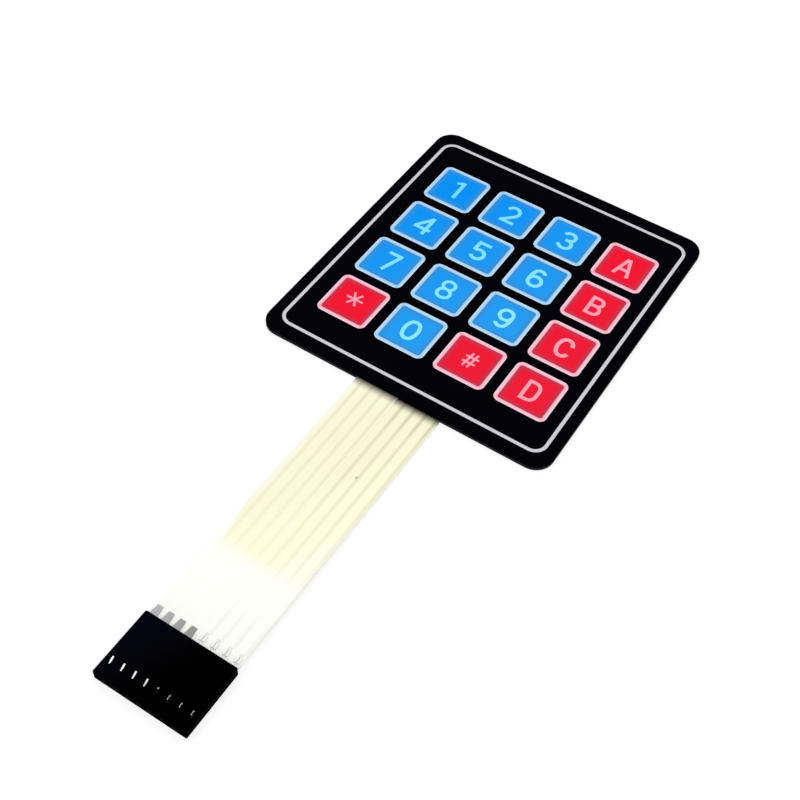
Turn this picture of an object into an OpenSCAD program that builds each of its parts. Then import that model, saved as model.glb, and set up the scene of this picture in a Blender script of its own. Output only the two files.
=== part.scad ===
// Membrane keypad with sixteen flat keys, a flat film tail and an eight-way plug.
// The pad lies in the XY plane with its back on z = 0 and the tail leaves it towards -Y.
// All lengths are in millimetres.

/* [Pad] */
// Width of the pad, across the columns of keys
pad_w = 69.2; // [68:0.1:90]
// Length of the pad, along the rows of keys
pad_l = 76.9; // [74:0.1:100]
// Radius of the pad's corners
pad_r = 4.25; // [1:0.25:8]

/* [Layers] */
// Thickness of the release liner
liner_t = 0.12; // [0.05:0.01:0.3]
// Thickness of the rear adhesive
rear_adhesive_t = 0.1; // [0.05:0.01:0.5]
// Thickness of each circuit film
film_t = 0.125; // [0.075:0.005:0.2]
// Thickness of the silver ink of the tracks
ink_t = 0.02; // [0.01:0.005:0.04]
// Thickness of the carbon ink on the contact lands
carbon_t = 0.015; // [0.005:0.005:0.04]
// Thickness of the spacer between the circuit films
spacer_t = 0.2; // [0.1:0.01:0.5]
// Thickness of the adhesive under the overlay
overlay_adhesive_t = 0.05; // [0.03:0.01:0.2]
// Thickness of the graphic overlay
overlay_t = 0.2; // [0.1:0.01:0.5]
// Thickness of the printed colours on the overlay
print_t = 0.02; // [0.01:0.005:0.05]

/* [Keys] */
// Distance between the columns of keys
key_pitch_x = 14.6; // [13.5:0.1:15.5]
// Distance between the rows of keys
key_pitch_y = 14.4; // [13.5:0.1:16]
// Distance of the key grid from the pad's middle, to the right
key_shift_x = 0.5; // [-1:0.1:1]
// Width of a key with its frame
key_w = 12.1; // [10:0.1:13]
// Length of a key with its frame
key_l = 12.1; // [10:0.1:13]
// Radius of the frame's outer corners
key_r = 1.5; // [1:0.1:3]
// Width of the pale frame round each key
frame_w = 0.85; // [0.3:0.05:0.95]

/* [Border line] */
// Distance of the line from the pad's left and right edges
border_inset_x = 2.5; // [1:0.1:3]
// Distance of the line from the pad's upper and lower edges
border_inset_y = 3.3; // [1:0.1:5]
// Width of the line
border_w = 0.75; // [0.3:0.05:1.2]
// Radius of the line's outer corners
border_r = 3.1; // [1.5:0.1:6]

/* [Switches] */
// Diameter of the spacer's hole under each key
cell_d = 10; // [9:0.1:11]
// Diameter of the silver contact land
land_d = 8.4; // [7.8:0.1:8.8]
// Diameter of the carbon pad on the land
carbon_d = 7.6; // [5:0.1:8.2]
// Width of the vent channels between the holes
vent_w = 0.8; // [0.4:0.1:2]
// Width of the tracks
track_w = 0.8; // [0.5:0.05:1]

/* [Tail] */
// Length of the tail from the pad's edge to the plug's rear face
tail_l = 66.8; // [30:0.1:150]
// Width of the tail over both halves
tail_w = 20.1; // [19.8:0.05:20.3]
// Distance of the tail and the plug from the pad's middle, to the right
tail_shift_x = 0.85; // [-8:0.05:8]
// Slit between the two halves of the tail
tail_slit = 0.05; // [0.05:0.01:0.5]
// Thickness of the insulating coats on the tail
cover_t = 0.03; // [0.02:0.005:0.06]
// Width of each film finger that enters the plug
finger_w = 1.7; // [1.4:0.05:1.8]

/* [Plug housing] */
// Distance between neighbouring terminals
pin_pitch = 2.54; // [2.5:0.01:2.6]
// Length of the housing
housing_l = 14.4; // [13:0.1:18]
// Height of the housing
housing_h = 2.54; // [2.5:0.01:3]
// Width and height of each cavity
cavity_size = 1.9; // [1.86:0.01:2]
// Thickness of the wall at the mating face
front_wall = 1; // [0.6:0.1:1.5]
// Width of each square pin entry
entry_w = 0.8; // [0.7:0.05:1]
// Width of the lead-in at the mouth of each entry
lead_w = 1.5; // [1.1:0.05:1.7]
// Depth of the lead-in
lead_depth = 0.45; // [0.2:0.05:0.5]
// Width of the locking windows
window_w = 0.7; // [0.6:0.05:1.2]
// Length of the locking windows
window_l = 1.6; // [1.2:0.1:2]
// Distance of the windows from the mating face
window_front = 2.7; // [1.8:0.1:3]

/* [Terminals] */
// Thickness of the terminal's sheet metal
stock_t = 0.2; // [0.15:0.01:0.21]
// Width and height of the terminal's box
box_size = 1.76; // [1.6:0.02:1.8]
// Length of the terminal's box
box_l = 6.4; // [5:0.1:7]
// Width of the crimp plate where it is widest
crimp_w = 1.6; // [1.3:0.05:1.7]
// Width of the crimp plate at its free end
crimp_end_w = 1.15; // [1.1:0.05:1.4]
// Length over which the crimp plate widens
crimp_taper_l = 2; // [0.5:0.1:3]
// Length of the terminal that stands out behind the housing
crimp_out = 2.4; // [1:0.1:4]
// Length of each clinch tooth along the tail
tooth_l = 1.3; // [0.8:0.1:1.4]
// Gap between one pair of teeth and the next
tooth_gap = 0.5; // [0.3:0.05:0.6]
// Distance across each pair of teeth
tooth_span = 1.1; // [1.06:0.02:1.14]
// Radius inside the curl of a tooth
curl_r = 0.05; // [0.03:0.01:0.06]
// Width of the locking lance
lance_w = 0.4; // [0.4:0.05:0.58]
// Thickness of the spring leaves inside the box
leaf_t = 0.14; // [0.1:0.01:0.18]
// Gap between the crests of the two spring leaves
leaf_gap = 0.5; // [0.4:0.02:0.6]

/* [Hidden] */

$fn = 48;
// Overrun of every cut past the face that it opens
cut = 0.5;
// Running clearance between parts of the plug
plug_clearance = 0.05;
// Clearance round each tooth where it passes through the film
pierce_clearance = 0.02;

// Keys in a row and in a column
key_count = 4;
key_last = key_count - 1;
// Row, counted from the top, along which a cross vent joins the holes of the spacer
vent_row = 1;

// Heights of the layers, counted up from the back of the liner
rear_adhesive_z = liner_t;
lower_film_z = rear_adhesive_z + rear_adhesive_t;
column_ink_z = lower_film_z + film_t;
spacer_z = column_ink_z + ink_t;
row_ink_z = spacer_z + spacer_t;
upper_film_z = row_ink_z + ink_t;
overlay_adhesive_z = upper_film_z + film_t;
overlay_z = overlay_adhesive_z + overlay_adhesive_t;
print_z = overlay_z + overlay_t;

// Edges of the pad and the free margins beside the contact lands
pad_edge_y = -pad_l / 2;
pad_edge_x = -pad_w / 2;
first_key_x = key_shift_x - key_pitch_x * key_last / 2;
last_key_y = -key_pitch_y * key_last / 2;
side_margin = first_key_x - land_d / 2 - pad_edge_x;
lower_margin = last_key_y - land_d / 2 - pad_edge_y;
side_step = side_margin / (key_count + 1);
lower_step = lower_margin / (key_count + 1);

// Places along the tail, counted along -Y
plug_rear_y = pad_edge_y - tail_l;
plug_front_y = plug_rear_y - housing_l;
terminal_rear_y = plug_rear_y + crimp_out;
terminal_front_y = plug_front_y + front_wall + plug_clearance;
terminal_l = terminal_rear_y - terminal_front_y;
// Length of bare track between the cover and the terminals
bare_track = 0.5;
cover_end_y = terminal_rear_y + bare_track;
bend_l = pad_edge_y - cover_end_y;
bend_steps = 24;

// The row of teeth along each terminal
tooth_pairs = 3;
// Distance of the first tooth from the free end of the crimp plate
tooth_inset = 0.15;
tooth_pitch = tooth_l + tooth_gap;
teeth_l = tooth_pitch * tooth_pairs - tooth_gap;
// Distance of the film's end from the last tooth
film_lap = 0.4;
finger_end_y = terminal_rear_y - tooth_inset - teeth_l - film_lap;
// Distance behind the housing at which the fingers are parted
finger_root = 0.2;
finger_root_y = plug_rear_y + finger_root;
// Length of the crimp plate that lies flat against the film
crimp_l = tooth_inset + teeth_l + film_lap;

// Place of the box's rear end, counted from the terminal's free end
box_rear = terminal_l - box_l;
// Shares of the box's length and width that the spring leaves take
leaf_root_share = 0.1;
leaf_crest_share = 0.7;
leaf_tip_share = 0.92;
leaf_width_share = 0.55;
// Clearance of the lance in its window, and how far it stands into the window
lance_clearance = 0.05;
lance_reach = 0.15;
// Width of the neck between the crimp plate and the box
neck_w = 1;
// Width of the open seam along the box
seam_w = 0.1;
// Outer radius of the folds of the box
fold_r = 0.28;

// Heights of the films' middle planes, in the pad and in the plug
plug_mid_z = housing_h / 2;
column_mid_z = lower_film_z + film_t / 2;
row_mid_z = upper_film_z + film_t / 2;

// Places of the eight terminals across the tail
plug_places = 2 * key_count;
place_last = plug_places - 1;
housing_w = plug_places * pin_pitch;
function place_x(i) = tail_shift_x + (i - place_last / 2) * pin_pitch;
function key_x(column) = first_key_x + column * key_pitch_x;
function key_y(row) = -last_key_y - row * key_pitch_y;
// Function keys fill the last column, and take every other place of the last row
function is_function_key(column, row) = column == key_last || (row == key_last && column % 2 == 0);

// Height of a tail film's middle plane at y, eased from the pad to the plug
function ease(s) = s * s * (3 - 2 * s);
function film_mid(y, pad_mid_z) =
    pad_mid_z + (plug_mid_z - pad_mid_z) * ease(min(1, max(0, (pad_edge_y - y) / bend_l)));
function bend_stations(start_y, end_y) = concat(
    start_y > pad_edge_y ? [start_y] : [],
    [for (i = [0 : bend_steps]) pad_edge_y - bend_l * i / bend_steps],
    end_y < cover_end_y ? [end_y] : []
);

// Rectangle with round corners, centred
module round_rect(w, l, r) {
    square([w - 2 * r, l], center = true);
    square([w, l - 2 * r], center = true);
    for (x = [-1, 1], y = [-1, 1])
        translate([x * (w / 2 - r), y * (l / 2 - r)])
            circle(r);
}

// One full layer of the pad
module pad_layer(z, t) {
    translate([0, 0, z])
        linear_extrude(t)
            round_rect(pad_w, pad_l, pad_r);
}

// Strip of the tail from x0 to x1 that follows a film over the whole bend, between two heights
// from the film's middle plane
module tail_strip(x0, x1, pad_mid_z, low, high, start_y, end_y) {
    stations = bend_stations(start_y, end_y);
    under = [for (y = stations) [y, film_mid(y, pad_mid_z) + low]];
    over = [for (i = [len(stations) - 1 : -1 : 0])
        [stations[i], film_mid(stations[i], pad_mid_z) + high]];
    translate([x0, 0, 0])
        rotate([90, 0, 90])
            linear_extrude(x1 - x0)
                polygon(concat(under, over));
}

// Slots of one terminal's teeth, cut through film and ink
module tooth_slots(x) {
    slot_w = stock_t + 2 * pierce_clearance;
    slot_l = tooth_l + 2 * pierce_clearance;
    for (side = [-1, 1], i = [0 : tooth_pairs - 1])
        translate([
            x + side * (tooth_span - stock_t) / 2 - slot_w / 2,
            terminal_rear_y - tooth_inset - i * tooth_pitch - tooth_l - pierce_clearance,
            plug_mid_z - cut
        ])
            cube([slot_w, slot_l, 2 * cut]);
}

// Circuit film with one half of the tail, from x0 to x1 and with four fingers at its end
module circuit_film(z, mid_z, x0, x1, first_place) {
    difference() {
        union() {
            pad_layer(z, film_t);
            tail_strip(x0, x1, mid_z, -film_t / 2, film_t / 2, pad_edge_y + pad_r, finger_root_y);
            for (i = [first_place : first_place + key_last])
                translate([place_x(i) - finger_w / 2, finger_end_y, plug_mid_z - film_t / 2])
                    cube([finger_w, cover_end_y - finger_end_y, film_t]);
        }
        for (i = [first_place : first_place + key_last])
            tooth_slots(place_x(i));
    }
}

// Straight track between two points of the pad that share x or y, with round ends
module track(from, to) {
    along_x = from[1] == to[1];
    run = [abs(to[0] - from[0]), abs(to[1] - from[1])];
    translate((from + to) / 2)
        square(along_x ? [run[0], track_w] : [track_w, run[1]], center = true);
    for (end = [from, to])
        translate(end)
            circle(d = track_w);
}

// Contact lands of all the keys
module lands(d) {
    for (column = [0 : key_last], row = [0 : key_last])
        translate([key_x(column), key_y(row)])
            circle(d = d);
}

// Tail part of four tracks, on the side of the film that low and high give
module tail_tracks(mid_z, low, high, first_place) {
    difference() {
        for (i = [first_place : first_place + key_last])
            tail_strip(place_x(i) - track_w / 2, place_x(i) + track_w / 2, mid_z,
                low, high, pad_edge_y + track_w, finger_end_y);
        for (i = [first_place : first_place + key_last])
            tooth_slots(place_x(i));
    }
}

// Insulating coat over four tracks, with a ridge over each; side is 1 above the film, -1 under it
module tail_cover(x0, x1, mid_z, side, first_place) {
    face = side * film_t / 2;
    ink = side * ink_t;
    coat = side * cover_t;
    low = min(face, face + coat);
    high = max(face, face + coat);
    ridge_low = min(face, face + ink + coat);
    ridge_high = max(face, face + ink + coat);
    difference() {
        union() {
            tail_strip(x0, x1, mid_z, low, high, pad_edge_y, cover_end_y);
            for (i = [first_place : first_place + key_last])
                tail_strip(place_x(i) - track_w / 2 - cover_t, place_x(i) + track_w / 2 + cover_t,
                    mid_z, ridge_low, ridge_high, pad_edge_y, cover_end_y);
        }
        for (i = [first_place : first_place + key_last])
            tail_strip(place_x(i) - track_w / 2, place_x(i) + track_w / 2, mid_z,
                min(-side * cut, face + ink), max(-side * cut, face + ink),
                pad_edge_y + cut, cover_end_y - cut);
    }
}

// Release liner
module release_liner() {
    color("#d9cfae")
        pad_layer(0, liner_t);
}

// Rear adhesive
module rear_adhesive() {
    color("#1b1c20")
        pad_layer(rear_adhesive_z, rear_adhesive_t);
}

// Lower circuit film, with the right half of the tail
module lower_circuit_film() {
    color("#f7f2d8")
        circuit_film(lower_film_z, column_mid_z, tail_shift_x + tail_slit / 2,
            tail_shift_x + tail_w / 2, key_count);
}

// Column tracks: a trunk through each column of lands, a run under the keys and a tail track
module column_tracks() {
    color("#c9c9cb") {
        translate([0, 0, column_ink_z])
            linear_extrude(ink_t) {
                lands(land_d);
                for (column = [0 : key_last]) {
                    // The columns farthest from the tail run lowest, so that no two tracks cross
                    exit_x = place_x(key_count + column);
                    level = exit_x > key_x(column) ? key_count - column : column + 1;
                    run_y = last_key_y - land_d / 2 - level * lower_step;
                    track([key_x(column), key_y(0)], [key_x(column), run_y]);
                    track([key_x(column), run_y], [exit_x, run_y]);
                    track([exit_x, run_y], [exit_x, pad_edge_y + track_w]);
                }
            }
        tail_tracks(column_mid_z, film_t / 2, film_t / 2 + ink_t, key_count);
    }
}

// Carbon pads of the columns
module column_carbon_pads() {
    color("#2a2a2c")
        translate([0, 0, column_ink_z + ink_t])
            linear_extrude(carbon_t)
                lands(carbon_d);
}

// Spacer with a hole at each key, and vents that join the holes
module spacer() {
    color("#20232b")
        difference() {
            pad_layer(spacer_z, spacer_t);
            translate([0, 0, spacer_z - cut])
                linear_extrude(spacer_t + 2 * cut) {
                    lands(cell_d);
                    for (column = [0 : key_last])
                        translate([key_x(column) - vent_w / 2, key_y(key_last)])
                            square([vent_w, key_y(0) - key_y(key_last)]);
                    translate([key_x(0), key_y(vent_row) - vent_w / 2])
                        square([key_x(key_last) - key_x(0), vent_w]);
                }
        }
}

// Carbon pads of the rows
module row_carbon_pads() {
    color("#2a2a2c")
        translate([0, 0, row_ink_z - carbon_t])
            linear_extrude(carbon_t)
                lands(carbon_d);
}

// Row tracks: a trunk through each row of lands, a run down the left margin and a tail track
module row_tracks() {
    color("#c9c9cb") {
        translate([0, 0, row_ink_z])
            linear_extrude(ink_t) {
                lands(land_d);
                for (row = [0 : key_last]) {
                    level = key_count - row;
                    run_x = first_key_x - land_d / 2 - level * side_step;
                    run_y = last_key_y - land_d / 2 - level * lower_step;
                    exit_x = place_x(row);
                    track([run_x, key_y(row)], [key_x(key_last), key_y(row)]);
                    track([run_x, key_y(row)], [run_x, run_y]);
                    track([run_x, run_y], [exit_x, run_y]);
                    track([exit_x, run_y], [exit_x, pad_edge_y + track_w]);
                }
            }
        tail_tracks(row_mid_z, -film_t / 2 - ink_t, -film_t / 2, 0);
    }
}

// Upper circuit film, with the left half of the tail
module upper_circuit_film() {
    color("#f7f2d8")
        circuit_film(upper_film_z, row_mid_z, tail_shift_x - tail_w / 2,
            tail_shift_x - tail_slit / 2, 0);
}

// Adhesive under the overlay
module overlay_adhesive() {
    color("#1b1c20")
        pad_layer(overlay_adhesive_z, overlay_adhesive_t);
}

// Graphic overlay, the face of the pad
module graphic_overlay() {
    color("#08080d")
        pad_layer(overlay_z, overlay_t);
}

// Printed fields of the keys whose kind is asked for
module key_fields(function_kind) {
    translate([0, 0, print_z])
        linear_extrude(print_t)
            for (column = [0 : key_last], row = [0 : key_last])
                if (is_function_key(column, row) == function_kind)
                    translate([key_x(column), key_y(row)])
                        round_rect(key_w - 2 * frame_w, key_l - 2 * frame_w, key_r - frame_w);
}

// Printed frames of the keys whose kind is asked for
module key_frames(function_kind) {
    translate([0, 0, print_z])
        linear_extrude(print_t)
            for (column = [0 : key_last], row = [0 : key_last])
                if (is_function_key(column, row) == function_kind)
                    translate([key_x(column), key_y(row)])
                        difference() {
                            round_rect(key_w, key_l, key_r);
                            round_rect(key_w - 2 * frame_w, key_l - 2 * frame_w, key_r - frame_w);
                        }
}

// Blue fields of the digit keys
module digit_key_fields() {
    color("#1f97ee")
        key_fields(false);
}

// Red fields of the function keys
module function_key_fields() {
    color("#f21c3c")
        key_fields(true);
}

// Frames of the digit keys
module digit_key_frames() {
    color("#b9d6f7")
        key_frames(false);
}

// Frames of the function keys
module function_key_frames() {
    color("#f6c8d4")
        key_frames(true);
}

// Line round the key area
module border_line() {
    line_w = pad_w - 2 * border_inset_x;
    line_l = pad_l - 2 * border_inset_y;
    color("#cfcfdc")
        translate([0, 0, print_z])
            linear_extrude(print_t)
                difference() {
                    round_rect(line_w, line_l, border_r);
                    round_rect(line_w - 2 * border_w, line_l - 2 * border_w, border_r - border_w);
                }
}

// Coat under the left half of the tail
module row_tail_cover() {
    color("#f5efd2")
        tail_cover(tail_shift_x - tail_w / 2, tail_shift_x - tail_slit / 2, row_mid_z, -1, 0);
}

// Coat on the right half of the tail
module column_tail_cover() {
    color("#f5efd2")
        tail_cover(tail_shift_x + tail_slit / 2, tail_shift_x + tail_w / 2, column_mid_z, 1,
            key_count);
}

// Square pin entry with a four-sided lead-in, its mouth on y = 0 and its run along +Y
module pin_entry() {
    translate([-entry_w / 2, -cut, -entry_w / 2])
        cube([entry_w, front_wall + 2 * cut, entry_w]);
    intersection() {
        lead_wedge();
        rotate([0, 90, 0])
            lead_wedge();
    }
}

// Wedge that tapers from the lead-in's mouth to the entry's width, as wide as the mouth in Z
module lead_wedge() {
    slope = (lead_w - entry_w) / 2 / lead_depth;
    mouth = lead_w / 2 + slope * cut;
    translate([0, 0, -mouth])
        linear_extrude(2 * mouth)
            polygon([
                [-mouth, -cut],
                [mouth, -cut],
                [entry_w / 2, lead_depth],
                [-entry_w / 2, lead_depth]
            ]);
}

// Housing of the plug: one block with eight cavities, entries and pairs of locking windows
module plug_housing() {
    color("#0b0b0e")
        difference() {
            translate([tail_shift_x - housing_w / 2, plug_front_y, 0])
                cube([housing_w, housing_l, housing_h]);
            for (i = [0 : place_last])
                translate([place_x(i), plug_front_y, plug_mid_z]) {
                    translate([-cavity_size / 2, front_wall, -cavity_size / 2])
                        cube([cavity_size, housing_l - front_wall + cut, cavity_size]);
                    pin_entry();
                    translate([-window_w / 2, window_front, -housing_h / 2 - cut])
                        cube([window_w, window_l, housing_h + 2 * cut]);
                }
        }
}

// One clinch tooth, drawn at +X: a leg through the film and a curl back onto the track
module tooth() {
    leg_in = tooth_span / 2 - stock_t;
    foot_z = -film_t / 2 - stock_t;
    ink_face_z = film_t / 2 + ink_t;
    curl_z = ink_face_z + curl_r;
    curl_x = leg_in - curl_r;
    curl_out = curl_r + stock_t;
    rotate([90, 0, 0])
        linear_extrude(tooth_l) {
            translate([leg_in, foot_z])
                square([stock_t, curl_z - foot_z]);
            translate([curl_x, curl_z])
                difference() {
                    circle(curl_out);
                    circle(curl_r);
                    translate([-curl_out - cut, -curl_out - cut])
                        square([2 * (curl_out + cut), curl_out + cut]);
                }
            translate([curl_x - curl_out, ink_face_z])
                square([stock_t, curl_z - ink_face_z]);
        }
}

// Spring leaf that bows in from one wall of the box, drawn at the wall towards -Z
module spring_leaf() {
    wall_z = -box_size / 2 + stock_t;
    crest_z = -leaf_gap / 2;
    root_y = -box_rear - box_l * leaf_root_share;
    crest_y = -box_rear - box_l * leaf_crest_share;
    tip_y = -box_rear - box_l * leaf_tip_share;
    tip_z = (crest_z + wall_z) / 2;
    leaf_w = box_size * leaf_width_share;
    translate([-leaf_w / 2, 0, 0])
        rotate([90, 0, 90])
            linear_extrude(leaf_w)
                polygon([
                    [-box_rear, wall_z - stock_t / 2],
                    [-box_rear, wall_z + leaf_t],
                    [root_y, wall_z + leaf_t],
                    [crest_y, crest_z],
                    [tip_y, tip_z],
                    [tip_y, tip_z - leaf_t],
                    [crest_y, crest_z - leaf_t],
                    [root_y, wall_z],
                    [root_y, wall_z - stock_t / 2]
                ]);
}

// Box of the terminal, folded from sheet, with an open seam on top and a lance underneath
module terminal_box() {
    window_y = -(terminal_front_y - plug_front_y - window_front);
    inner = box_size - 2 * stock_t;
    lance_rear = -terminal_l + window_y + window_l - lance_clearance;
    lance_front = -terminal_l + window_y + lance_clearance;
    difference() {
        translate([0, -box_rear, 0])
            rotate([90, 0, 0])
                linear_extrude(box_l)
                    difference() {
                        round_rect(box_size, box_size, fold_r);
                        round_rect(inner, inner, fold_r - stock_t);
                    }
        translate([-seam_w / 2, -terminal_l - cut, 0])
            cube([seam_w, box_l + 2 * cut, box_size]);
        translate([-window_w / 2, lance_front, 0])
            cube([window_w, window_l, box_size]);
        translate([-window_w / 2, lance_front, -box_size])
            cube([window_w, window_l, box_size]);
    }
    translate([-lance_w / 2, 0, 0])
        rotate([90, 0, 90])
            linear_extrude(lance_w)
                polygon([
                    [lance_front - stock_t, -box_size / 2],
                    [lance_front - stock_t, -box_size / 2 + stock_t],
                    [lance_front, -box_size / 2 + stock_t],
                    [lance_rear, -cavity_size / 2 - lance_reach + stock_t],
                    [lance_rear, -cavity_size / 2 - lance_reach],
                    [lance_front, -box_size / 2]
                ]);
    for (turn = [-90, 90])
        rotate([0, turn, 0])
            spring_leaf();
}

// Whole terminal with its plate under the film, its free end on y = 0 and its box towards -Y
module terminal_shape() {
    plate_z = -film_t / 2;
    translate([0, 0, plate_z - stock_t])
        linear_extrude(stock_t)
            polygon([
                [-crimp_end_w / 2, 0],
                [crimp_end_w / 2, 0],
                [crimp_w / 2, -crimp_taper_l],
                [crimp_w / 2, -crimp_l],
                [-crimp_w / 2, -crimp_l],
                [-crimp_w / 2, -crimp_taper_l]
            ]);
    translate([-neck_w / 2, 0, 0])
        rotate([90, 0, 90])
            linear_extrude(neck_w)
                polygon([
                    [-crimp_l + stock_t, plate_z - stock_t],
                    [-crimp_l + stock_t, plate_z],
                    [-crimp_l, plate_z],
                    [-box_rear, -box_size / 2 + stock_t],
                    [-box_rear - stock_t, -box_size / 2 + stock_t],
                    [-box_rear - stock_t, -box_size / 2],
                    [-box_rear, -box_size / 2],
                    [-crimp_l, plate_z - stock_t]
                ]);
    for (i = [0 : tooth_pairs - 1])
        translate([0, -tooth_inset - i * tooth_pitch, 0]) {
            tooth();
            mirror([1, 0, 0])
                tooth();
        }
    terminal_box();
}

// Terminal of one row of keys, turned over so that its plate lies on the film
module terminal_row(i) {
    color("#b9babd")
        translate([place_x(i), terminal_rear_y, plug_mid_z])
            rotate([0, 180, 0])
                terminal_shape();
}

// Terminal of one column of keys, with its plate under the film
module terminal_column(i) {
    color("#b9babd")
        translate([place_x(key_count + i), terminal_rear_y, plug_mid_z])
            terminal_shape();
}

release_liner();
rear_adhesive();
lower_circuit_film();
column_tracks();
column_carbon_pads();
spacer();
row_carbon_pads();
row_tracks();
upper_circuit_film();
overlay_adhesive();
graphic_overlay();
digit_key_fields();
function_key_fields();
digit_key_frames();
function_key_frames();
border_line();
row_tail_cover();
column_tail_cover();
plug_housing();
terminal_row(0);  // terminal_row_1
terminal_row(1);  // terminal_row_2
terminal_row(2);  // terminal_row_3
terminal_row(3);  // terminal_row_4
terminal_column(0);  // terminal_column_1
terminal_column(1);  // terminal_column_2
terminal_column(2);  // terminal_column_3
terminal_column(3);  // terminal_column_4
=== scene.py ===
"""Membrane keypad with a film tail and an eight-way plug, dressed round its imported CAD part.

Sizes and places are in millimetres, in the CAD part's own frame: X to the right as the keys are
read, Y up the pad away from the tail, Z out of the keys. MM turns them into Blender's metres.
"""

import logging
import math
from abc import ABC, abstractmethod
from collections.abc import Iterable, Iterator, Mapping
from dataclasses import KW_ONLY, dataclass, field
from enum import Enum
from functools import partial

import bmesh
import bpy
from mathutils import Matrix, Vector


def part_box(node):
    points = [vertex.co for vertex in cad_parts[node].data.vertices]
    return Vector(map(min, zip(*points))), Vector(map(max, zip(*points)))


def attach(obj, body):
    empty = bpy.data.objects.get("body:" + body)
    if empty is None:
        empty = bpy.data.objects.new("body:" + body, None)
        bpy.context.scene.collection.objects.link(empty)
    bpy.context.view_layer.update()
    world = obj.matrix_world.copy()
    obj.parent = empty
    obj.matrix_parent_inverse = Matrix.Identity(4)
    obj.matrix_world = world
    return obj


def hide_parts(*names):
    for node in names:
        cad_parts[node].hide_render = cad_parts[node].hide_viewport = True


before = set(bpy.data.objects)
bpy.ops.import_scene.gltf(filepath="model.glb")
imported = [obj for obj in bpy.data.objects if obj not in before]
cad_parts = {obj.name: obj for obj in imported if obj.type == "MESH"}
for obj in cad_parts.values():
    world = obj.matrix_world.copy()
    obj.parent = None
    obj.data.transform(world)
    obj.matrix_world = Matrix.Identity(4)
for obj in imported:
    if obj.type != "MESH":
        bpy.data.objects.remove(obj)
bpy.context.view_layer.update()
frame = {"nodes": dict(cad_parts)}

Mesh = bmesh.types.BMesh
Node = bpy.types.Node
Object = bpy.types.Object
Tree = bpy.types.NodeTree
Pair = tuple[float, float]
# What feeds an input: a socket, or a node for its first output in use
Source = Node | bpy.types.NodeSocket
# Share, tone and kind of blend of one layer of colour
Layer = tuple[Source, str, str]

MM = 0.001
PER_MM = 1 / MM
# Distance under which two points are one
WELD = 0.001
# Width of a change of tone that looks sharp
SHARP = 0.01
# Octaves of a noise that makes soft patches, and of one that makes a fine grain
PATCH_DETAIL, GRAIN_DETAIL = 3.0, 2.0

log = logging.getLogger("keypad")


def linear(hex_colour: str) -> tuple[float, ...]:
    """Turn an sRGB hex colour into linear light, by the curve of the sRGB standard.

    Args:
        hex_colour: colour as "#rrggbb".

    Returns:
        Red, green, blue and an alpha of 1, as Blender's sockets take them.
    """
    levels = [int(hex_colour[i : i + 2], 16) / 255 for i in (1, 3, 5)]
    lit = (v / 12.92 if v <= 0.04045 else ((v + 0.055) / 1.055) ** 2.4 for v in levels)
    return *lit, 1.0


def add_node(
    tree: Tree,
    kind: str | Node,
    settings: Mapping[str | int, object] | None = None,
    links: Mapping[str | int, Source] | None = None,
) -> Node:
    """Add a node with its settings and its links.

    Args:
        tree: node tree that takes the node.
        kind: Blender's name for the type of node, after "ShaderNode", or a node that is there.
        settings: value of each property, or of each input by its name or number.
        links: what feeds each input.

    Returns:
        The node.
    """
    node = kind if isinstance(kind, Node) else tree.nodes.new("ShaderNode" + kind)

    def socket(key: str | int) -> bpy.types.NodeSocket:
        """Return the input in use that has this name or number."""
        return next(s for i, s in enumerate(node.inputs) if s.enabled and key in (i, s.name))

    for key, value in (settings or {}).items():
        if isinstance(key, str) and hasattr(node, key):
            setattr(node, key, value)
        else:
            socket(key).default_value = value
    for key, source in (links or {}).items():
        if isinstance(source, Node):
            source = next(output for output in source.outputs if output.enabled)
        tree.links.new(source, socket(key))
    return node


def surface_place(tree: Tree, centre: Pair = (0.0, 0.0)) -> Node:
    """Give the surface's own place in millimetres.

    Args:
        tree: node tree that takes the nodes.
        centre: X and Y that become zero.

    Returns:
        Node with the place, counted from the centre.
    """
    coordinate = add_node(tree, "TexCoord")
    moves = {"Scale": (PER_MM,) * 3, "Location": (-centre[0], -centre[1], 0.0)}
    return add_node(tree, "Mapping", moves, {"Vector": coordinate.outputs["Object"]})


def seen_rays(tree: Tree) -> Node:
    """Tell rays that show a surface from rays that only light by it.

    Args:
        tree: node tree that takes the nodes.

    Returns:
        Node that gives 1 for camera, glossy and transmission rays.
    """
    path = add_node(tree, "LightPath")
    seen = path.outputs["Is Camera Ray"]
    for kind in ("Is Glossy Ray", "Is Transmission Ray"):
        seen = add_node(tree, "Math", {"operation": "MAXIMUM"}, {0: seen, 1: path.outputs[kind]})
    return seen


@dataclass(frozen=True)
class Drift:
    """Slow change over the part, as where light falls off.

    Attributes:
        start: X and Y at which it starts.
        end: X and Y at which it is complete.
    """

    start: Pair
    end: Pair

    def share(self, tree: Tree) -> Node:
        """Give how far the change has gone.

        Args:
            tree: node tree that takes the nodes.

        Returns:
            Node that runs from 0 to 1.
        """
        way = Vector(self.end) - Vector(self.start)
        step = (*way / way.length_squared, 0.0)
        place = surface_place(tree, self.start)
        gone = add_node(tree, "VectorMath", {"operation": "DOT_PRODUCT", 1: step}, {0: place})
        return add_node(tree, "Math", {"use_clamp": True, 1: 0.0}, {0: gone})


@dataclass(frozen=True)
class Finish(ABC):
    """A surface finish that becomes one node-based material.

    Attributes:
        name: name of the material, in plain words.
        slot: the record's material slot that the finish stands for; not used.
    """

    name: str
    slot: str

    def material(self) -> bpy.types.Material:
        """Return the finish's material, which is made at its first use."""
        made = bpy.data.materials.get(self.name)
        if made is None:
            made = bpy.data.materials.new(self.name)
            made.use_nodes = True
            self.paint(made.node_tree, made.node_tree.nodes["Principled BSDF"])
        return made

    @abstractmethod
    def paint(self, tree: Tree, shader: Node) -> None:
        """Add the finish's nodes.

        Args:
            tree: node tree of the material.
            shader: its Principled shader.
        """


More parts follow.
